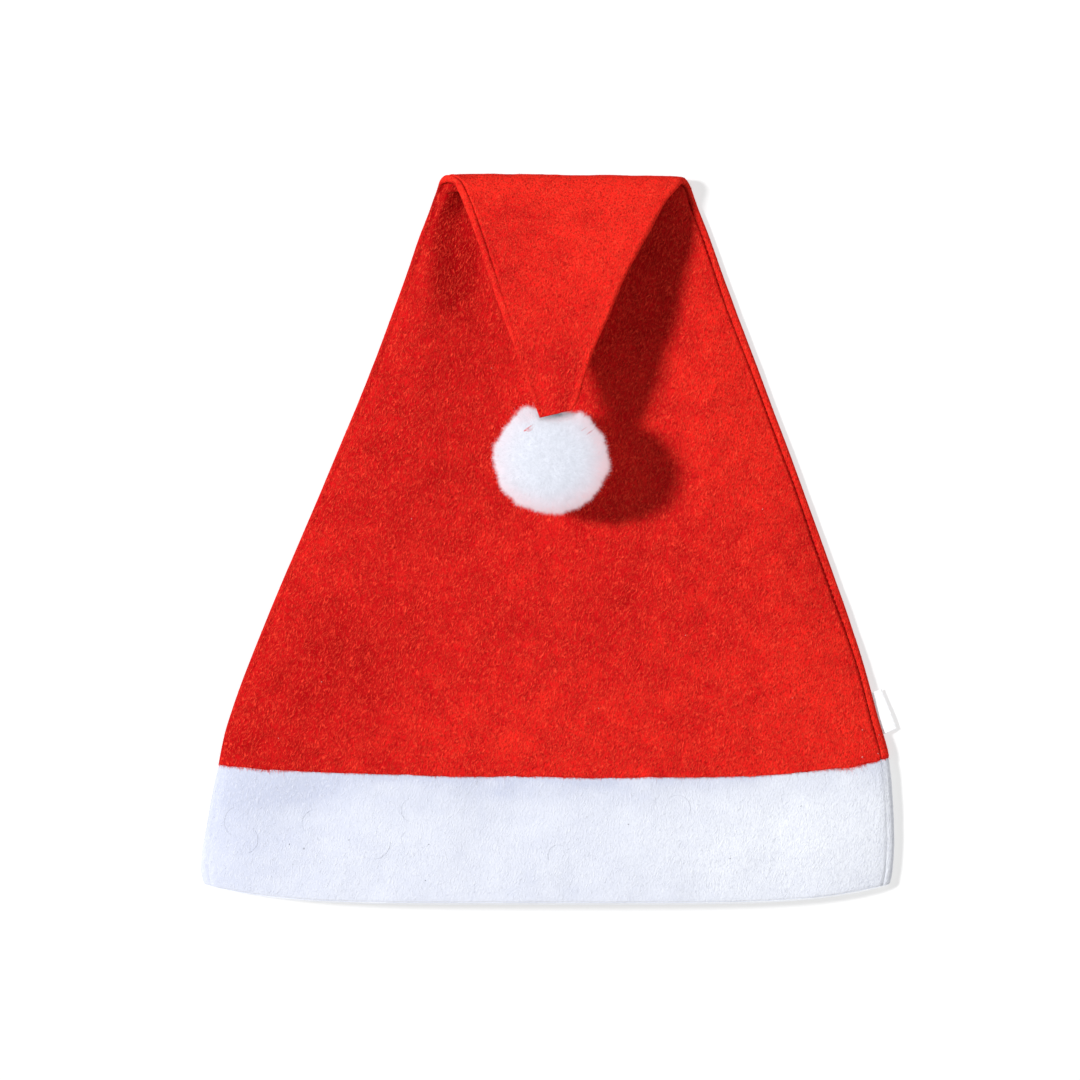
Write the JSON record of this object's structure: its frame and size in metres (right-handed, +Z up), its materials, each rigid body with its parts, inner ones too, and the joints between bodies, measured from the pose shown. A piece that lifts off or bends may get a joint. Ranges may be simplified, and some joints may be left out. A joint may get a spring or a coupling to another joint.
{
  "type": "santa hat",
  "caption": "Flat-lying red felt Santa hat with a white felt band, a folded-over point and a white pompom.",
  "frame": {"origin": "on the floor, under the middle of the hat's outline seen from above", "axes": "+X to the hat's right, +Y from the band to the fold, +Z up from the floor that the back panel lies on"},
  "size_m": [0.2917, 0.3063, 0.0546],
  "materials": {
    "red_felt": "matt needle felt with a short nap",
    "white_felt": "matt needle felt with a short nap",
    "pompom_fur": "dense soft pile",
    "label_tape": "smooth woven tape"
  },
  "bodies": {
    "root": {"crown": "red_felt", "band": "white_felt", "pompom": "pompom_fur", "side_label": "label_tape"}
  },
  "joints": []
}
